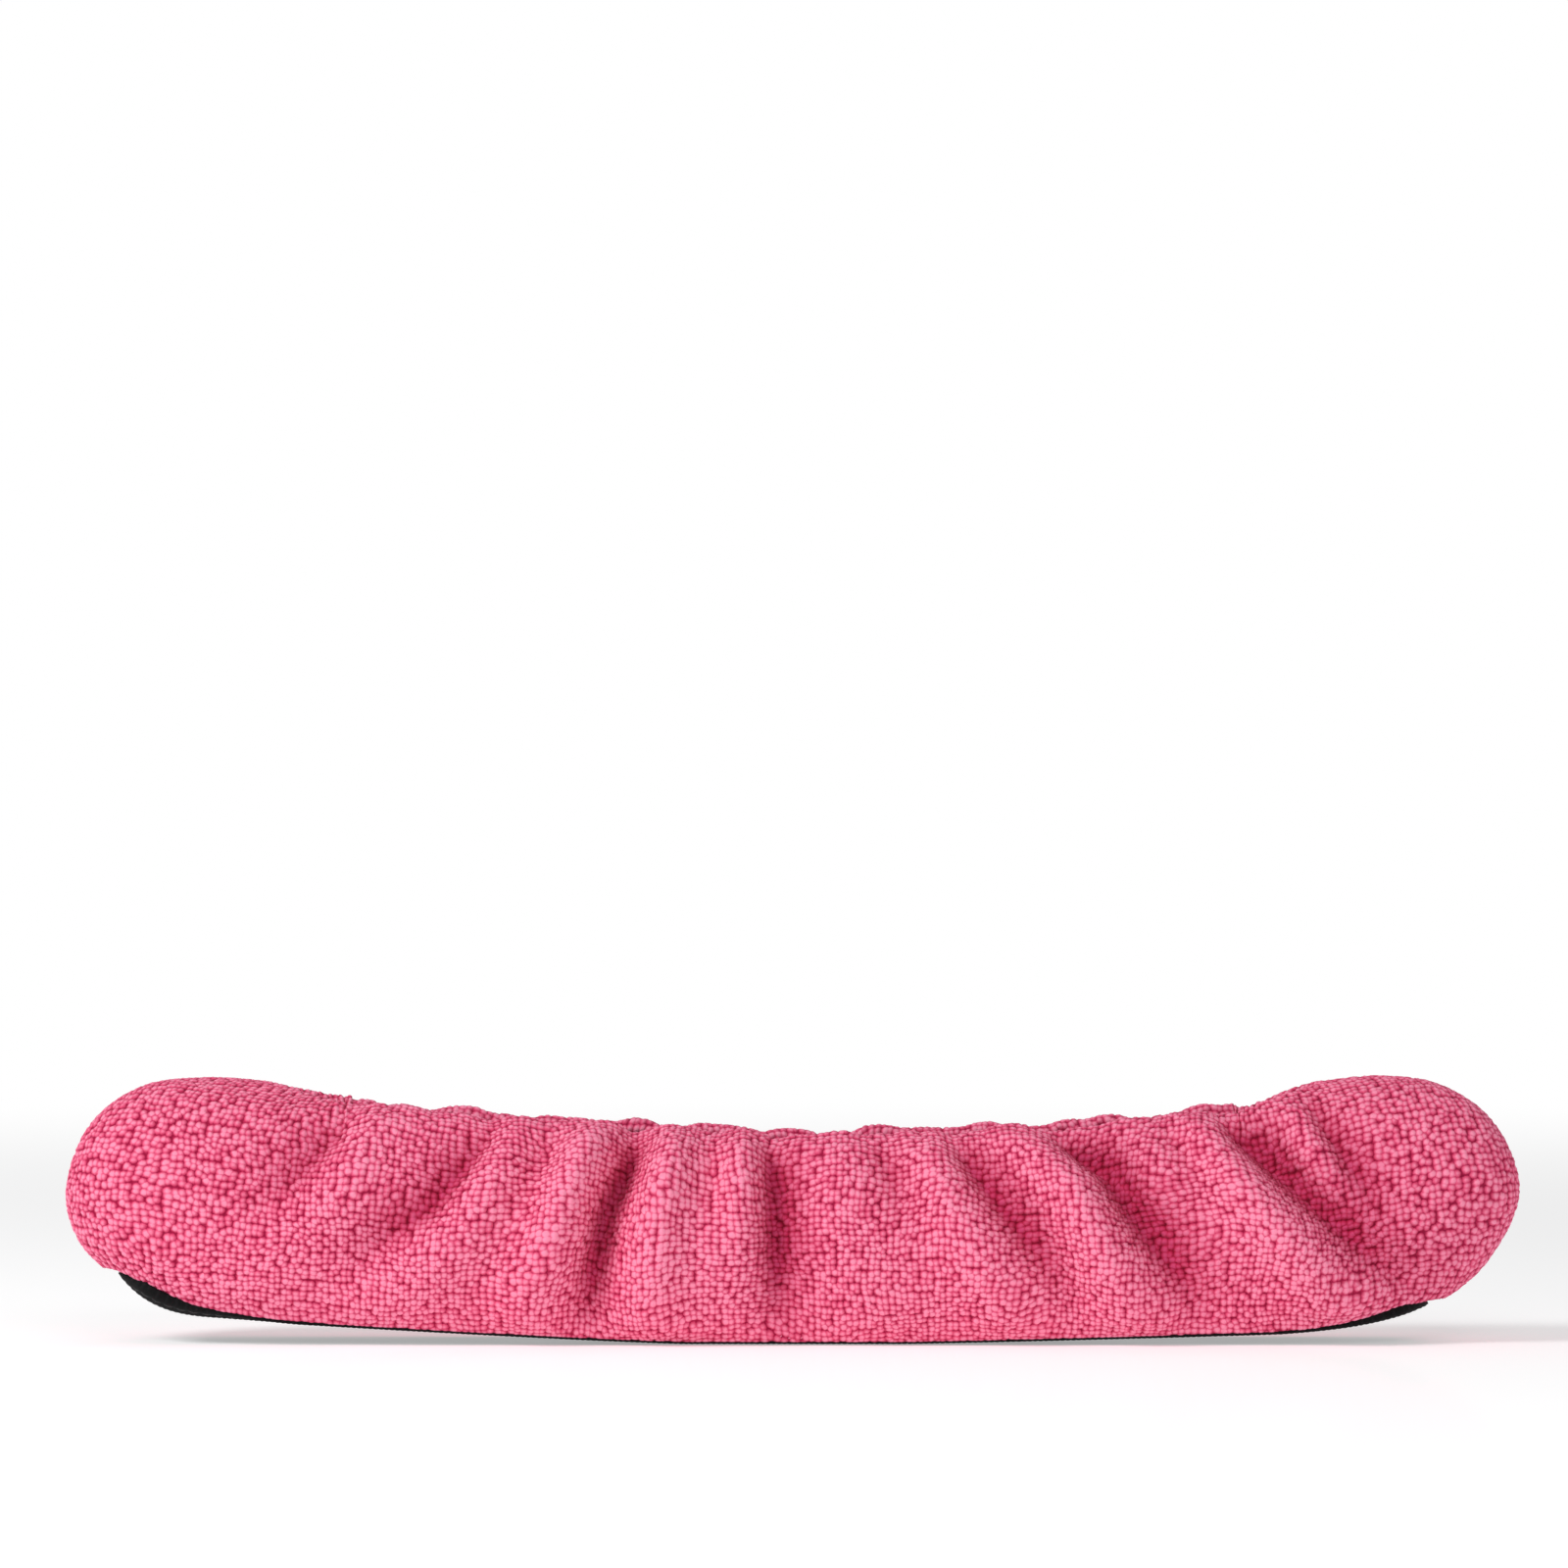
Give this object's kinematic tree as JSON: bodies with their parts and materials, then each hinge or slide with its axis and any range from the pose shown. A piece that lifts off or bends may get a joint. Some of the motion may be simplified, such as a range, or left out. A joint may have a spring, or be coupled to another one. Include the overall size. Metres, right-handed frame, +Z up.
{
  "type": "skate blade guard",
  "caption": "Soft terry blade cover: a long pouch gathered by an elastic mouth, sewn to a webbing sole that rises at toe and heel.",
  "frame": {"origin": "on the surface that the sole stands on, under the middle of the bounding box", "axes": "+X from toe to heel, +Y to the guard's right side (left and right as worn, facing the toe), +Z up"},
  "size_m": [0.3339, 0.0464, 0.0604],
  "materials": {
    "terry": "looped pile",
    "lining_terry": "short looped pile",
    "webbing": "ribbed weave",
    "black_thread": "twisted thread",
    "pink_thread": "twisted thread",
    "elastic": "braided"
  },
  "bodies": {
    "sole": {"sole_webbing": "webbing", "sole_stitch": "black_thread", "insole_terry": "lining_terry", "blade_strip": "webbing", "blade_strip_stitch": "black_thread", "elastic_band": "elastic", "toe_seam_thread": "pink_thread", "heel_seam_thread": "pink_thread", "left_toe_terry": "terry", "left_toe_lining": "lining_terry", "left_toe_hem_stitch": "pink_thread", "left_toe_seam_stitch": "pink_thread", "right_toe_terry": "terry", "right_toe_lining": "lining_terry", "right_toe_hem_stitch": "pink_thread", "right_toe_seam_stitch": "pink_thread", "left_heel_terry": "terry", "left_heel_lining": "lining_terry", "left_heel_hem_stitch": "pink_thread", "left_heel_seam_stitch": "pink_thread", "right_heel_terry": "terry", "right_heel_lining": "lining_terry", "right_heel_hem_stitch": "pink_thread", "right_heel_seam_stitch": "pink_thread"},
    "left_wall": {"left_wall_terry": "terry", "left_wall_lining": "lining_terry", "left_wall_hem_stitch": "pink_thread", "left_wall_seam_stitch": "pink_thread"},
    "right_wall": {"right_wall_terry": "terry", "right_wall_lining": "lining_terry", "right_wall_hem_stitch": "pink_thread", "right_wall_seam_stitch": "pink_thread"}
  },
  "joints": [
    {"name": "left_mouth_open", "type": "hinge", "parent": "sole", "child": "left_wall", "pos_m": [0, -0.0146, 0.002], "axis": [1, 0, 0], "range_deg": [0, 16], "stiffness_Nm_per_rad": 0.5, "deforming": ["elastic_band"]},
    {"name": "right_mouth_open", "type": "hinge", "parent": "sole", "child": "right_wall", "pos_m": [0, 0.0146, 0.002], "axis": [-1, 0, 0], "range_deg": [0, 16], "stiffness_Nm_per_rad": 0.5, "deforming": ["elastic_band"]}
  ],
  "couplings": [
    {"joint": "right_mouth_open", "follows": "left_mouth_open", "ratio": 1}
  ]
}
